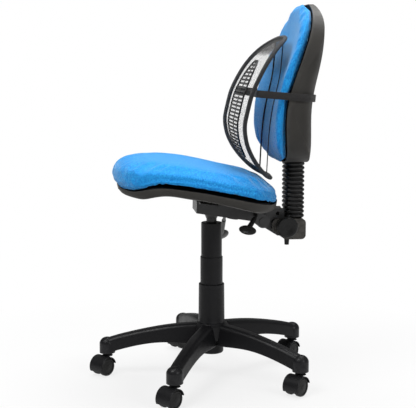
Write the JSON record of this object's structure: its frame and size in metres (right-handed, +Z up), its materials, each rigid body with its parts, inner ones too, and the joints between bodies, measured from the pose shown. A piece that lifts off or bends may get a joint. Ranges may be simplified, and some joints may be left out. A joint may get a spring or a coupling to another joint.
{
  "type": "swivel office chair",
  "caption": "Armless height-adjustable operator chair with padded seat and back, bellows-covered back bar, castered star base and a strap-on mesh lumbar support.",
  "frame": {"origin": "on the floor, on the axis of the gas column", "axes": "+Z up; the chair faces -Y; +X is the sitter's left"},
  "size_m": [0.6153, 0.6164, 1.0161],
  "materials": {
    "base_nylon": "satin black glass-filled nylon, fine texture",
    "wheel_nylon": "black nylon wheel, lightly scuffed tread",
    "bright_steel": "zinc-plated steel",
    "black_steel": "black powder-coated steel",
    "bush_plastic": "black acetal",
    "cover_plastic": "satin black moulded plastic",
    "plywood": "raw moulded beech plywood",
    "shell_plastic": "black moulded polypropylene, fine leather grain",
    "blue_fabric": "bright blue crepe-weave upholstery over foam",
    "grip_plastic": "smooth black plastic",
    "bellows_rubber": "black rubber, soft sheen",
    "lumbar_piping": "black woven piping over a wire frame",
    "lumbar_net": "fine open black net",
    "bead_plastic": "black springy slatted panel",
    "elastic": "black woven elastic"
  },
  "bodies": {
    "base": {"star_base": "base_nylon", "caster_stems": "bright_steel", "column_tube": "black_steel", "guide_bush": "bush_plastic", "thrust_bearing": "bright_steel", "cover_lower": "cover_plastic"},
    "rod": {"piston_rod": "bright_steel"},
    "seat": {"gas_cylinder": "black_steel", "cover_upper": "cover_plastic", "mech_housing": "black_steel", "seat_plate": "black_steel", "back_pivot_pin": "black_steel", "seat_board": "plywood", "seat_shell": "shell_plastic", "seat_cushion": "blue_fabric", "seat_screws": "black_steel"},
    "cover_stage": {"cover_middle": "cover_plastic"},
    "height_control": {"height_lever": "black_steel", "height_paddle": "grip_plastic"},
    "gas_valve": {"release_pin": "bright_steel"},
    "tilt_control": {"tilt_lever": "black_steel", "tilt_paddle": "grip_plastic"},
    "back_carrier": {"back_arm": "black_steel", "upright_bar": "black_steel", "bracket_housing": "shell_plastic", "clamp_screw": "grip_plastic", "bellows": "bellows_rubber"},
    "clamp_wheel": {"hand_wheel": "grip_plastic"},
    "backrest": {"height_slider": "bush_plastic", "back_board": "plywood", "back_shell": "shell_plastic", "back_cushion": "blue_fabric", "back_screws": "bright_steel", "lumbar_frame": "lumbar_piping", "lumbar_mesh": "lumbar_net", "lumbar_beads": "bead_plastic", "lumbar_cords": "elastic", "lumbar_strap": "elastic"},
    "caster_1": {"caster_1_hood": "base_nylon", "caster_1_axle": "bright_steel"},
    "caster_1_wheel_left": {"caster_1_wheel_left": "wheel_nylon"},
    "caster_1_wheel_right": {"caster_1_wheel_right": "wheel_nylon"},
    "caster_2": {"caster_2_hood": "base_nylon", "caster_2_axle": "bright_steel"},
    "caster_2_wheel_left": {"caster_2_wheel_left": "wheel_nylon"},
    "caster_2_wheel_right": {"caster_2_wheel_right": "wheel_nylon"},
    "caster_3": {"caster_3_hood": "base_nylon", "caster_3_axle": "bright_steel"},
    "caster_3_wheel_left": {"caster_3_wheel_left": "wheel_nylon"},
    "caster_3_wheel_right": {"caster_3_wheel_right": "wheel_nylon"},
    "caster_4": {"caster_4_hood": "base_nylon", "caster_4_axle": "bright_steel"},
    "caster_4_wheel_left": {"caster_4_wheel_left": "wheel_nylon"},
    "caster_4_wheel_right": {"caster_4_wheel_right": "wheel_nylon"},
    "caster_5": {"caster_5_hood": "base_nylon", "caster_5_axle": "bright_steel"},
    "caster_5_wheel_left": {"caster_5_wheel_left": "wheel_nylon"},
    "caster_5_wheel_right": {"caster_5_wheel_right": "wheel_nylon"}
  },
  "joints": [
    {"name": "swivel", "type": "hinge", "parent": "base", "child": "rod", "pos_m": [0, 0, 0.08], "axis": [0, 0, 1], "continuous": true},
    {"name": "lift", "type": "slide", "parent": "rod", "child": "seat", "axis": [0, 0, 1], "range_m": [-0.11, 0]},
    {"name": "cover_telescope", "type": "slide", "parent": "base", "child": "cover_stage", "axis": [0, 0, 1], "range_m": [-0.055, 0]},
    {"name": "height_lever_pull", "type": "hinge", "parent": "seat", "child": "height_control", "pos_m": [-0.034, 0.026, 0.462], "axis": [0, 1, 0], "range_deg": [0, 5], "stiffness_Nm_per_rad": 3, "springref_deg": -5.73},
    {"name": "valve_press", "type": "slide", "parent": "seat", "child": "gas_valve", "axis": [0, 0, 1], "range_m": [-0.0035, 0]},
    {"name": "tilt_lever_turn", "type": "hinge", "parent": "seat", "child": "tilt_control", "pos_m": [0, 0.112, 0.451], "axis": [-1, 0, 0], "range_deg": [-10, 20]},
    {"name": "recline", "type": "hinge", "parent": "seat", "child": "back_carrier", "pos_m": [0, 0.133, 0.432], "axis": [-1, 0, 0], "range_deg": [0, 12]},
    {"name": "hand_wheel_turn", "type": "hinge", "parent": "back_carrier", "child": "clamp_wheel", "pos_m": [0.052, 0.198, 0.416], "axis": [1, 0, 0], "range_deg": [-180, 180]},
    {"name": "back_height", "type": "slide", "parent": "back_carrier", "child": "backrest", "axis": [0, 0, 1], "range_m": [0, 0.06], "deforming": ["bellows"]},
    {"name": "caster_1_swivel", "type": "hinge", "parent": "base", "child": "caster_1", "pos_m": [0.19861, 0.20856, 0.05], "axis": [0, 0, 1], "continuous": true},
    {"name": "caster_1_roll_left", "type": "hinge", "parent": "caster_1", "child": "caster_1_wheel_left", "pos_m": [0.21089, 0.1954, 0.025], "axis": [0.7314, 0.682, 0], "continuous": true},
    {"name": "caster_1_roll_right", "type": "hinge", "parent": "caster_1", "child": "caster_1_wheel_right", "pos_m": [0.21089, 0.1954, 0.025], "axis": [0.7314, 0.682, 0], "continuous": true},
    {"name": "caster_2_swivel", "type": "hinge", "parent": "base", "child": "caster_2", "pos_m": [-0.13698, 0.25334, 0.05], "axis": [0, 0, 1], "continuous": true},
    {"name": "caster_2_roll_left", "type": "hinge", "parent": "caster_2", "child": "caster_2_wheel_left", "pos_m": [-0.1247, 0.24017, 0.025], "axis": [0.7314, 0.682, 0], "continuous": true},
    {"name": "caster_2_roll_right", "type": "hinge", "parent": "caster_2", "child": "caster_2_wheel_right", "pos_m": [-0.1247, 0.24017, 0.025], "axis": [0.7314, 0.682, 0], "continuous": true},
    {"name": "caster_3_swivel", "type": "hinge", "parent": "base", "child": "caster_3", "pos_m": [-0.28327, -0.05199, 0.05], "axis": [0, 0, 1], "continuous": true},
    {"name": "caster_3_roll_left", "type": "hinge", "parent": "caster_3", "child": "caster_3_wheel_left", "pos_m": [-0.27099, -0.06515, 0.025], "axis": [0.7314, 0.682, 0], "continuous": true},
    {"name": "caster_3_roll_right", "type": "hinge", "parent": "caster_3", "child": "caster_3_wheel_right", "pos_m": [-0.27099, -0.06515, 0.025], "axis": [0.7314, 0.682, 0], "continuous": true},
    {"name": "caster_4_swivel", "type": "hinge", "parent": "base", "child": "caster_4", "pos_m": [-0.03809, -0.28547, 0.05], "axis": [0, 0, 1], "continuous": true},
    {"name": "caster_4_roll_left", "type": "hinge", "parent": "caster_4", "child": "caster_4_wheel_left", "pos_m": [-0.02581, -0.29863, 0.025], "axis": [0.7314, 0.682, 0], "continuous": true},
    {"name": "caster_4_roll_right", "type": "hinge", "parent": "caster_4", "child": "caster_4_wheel_right", "pos_m": [-0.02581, -0.29863, 0.025], "axis": [0.7314, 0.682, 0], "continuous": true},
    {"name": "caster_5_swivel", "type": "hinge", "parent": "base", "child": "caster_5", "pos_m": [0.25973, -0.12444, 0.05], "axis": [0, 0, 1], "continuous": true},
    {"name": "caster_5_roll_left", "type": "hinge", "parent": "caster_5", "child": "caster_5_wheel_left", "pos_m": [0.272, -0.13761, 0.025], "axis": [0.7314, 0.682, 0], "continuous": true},
    {"name": "caster_5_roll_right", "type": "hinge", "parent": "caster_5", "child": "caster_5_wheel_right", "pos_m": [0.272, -0.13761, 0.025], "axis": [0.7314, 0.682, 0], "continuous": true}
  ],
  "couplings": [
    {"joint": "cover_telescope", "follows": "lift", "ratio": 0.5},
    {"joint": "valve_press", "follows": "height_lever_pull", "m_per_rad": -0.039}
  ]
}
